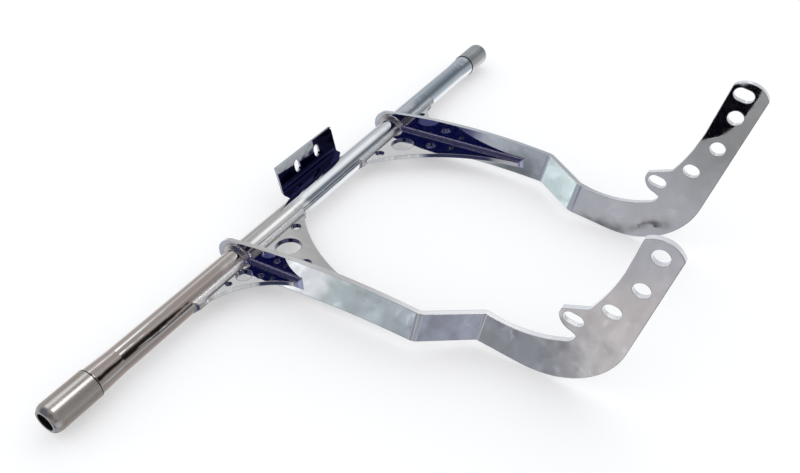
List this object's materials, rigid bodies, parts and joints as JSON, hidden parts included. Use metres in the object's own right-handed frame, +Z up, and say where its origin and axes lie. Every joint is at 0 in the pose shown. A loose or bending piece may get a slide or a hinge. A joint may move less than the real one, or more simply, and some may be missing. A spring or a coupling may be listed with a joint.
{
  "type": "crash bar",
  "caption": "Straight chromed tube with turned end sliders, two cranked plate arms with holed gussets, slotted bolt-on tabs and a slotted angle bracket.",
  "frame": {"origin": "middle of the tube's axis", "axes": "+X along the tube towards the right end, +Y from the tube along the arms to the tabs, +Z up, square to the gussets"},
  "size_m": [0.965, 0.555, 0.2477],
  "materials": {
    "chrome_plate": "bright chrome plate, mirror smooth",
    "chrome_bead": "chrome plate over a weld bead",
    "slider_satin": "satin turned aluminium",
    "fastener_steel": "dark steel"
  },
  "bodies": {
    "root": {"crossbar_tube": "chrome_plate", "left_arm": "chrome_plate", "right_arm": "chrome_plate", "left_inner_gusset": "chrome_plate", "right_inner_gusset": "chrome_plate", "left_outer_gusset": "chrome_plate", "right_outer_gusset": "chrome_plate", "plate_bracket": "chrome_plate", "left_inner_gusset_weld": "chrome_bead", "right_inner_gusset_weld": "chrome_bead", "left_outer_gusset_weld": "chrome_bead", "right_outer_gusset_weld": "chrome_bead", "left_inner_ring_weld": "chrome_bead", "right_inner_ring_weld": "chrome_bead", "left_outer_ring_weld": "chrome_bead", "right_outer_ring_weld": "chrome_bead", "bracket_weld": "chrome_bead", "left_slider": "slider_satin", "right_slider": "slider_satin", "left_slider_bolt": "fastener_steel", "right_slider_bolt": "fastener_steel", "left_slider_washer": "fastener_steel", "right_slider_washer": "fastener_steel", "left_end_bung": "fastener_steel", "right_end_bung": "fastener_steel"}
  },
  "joints": []
}
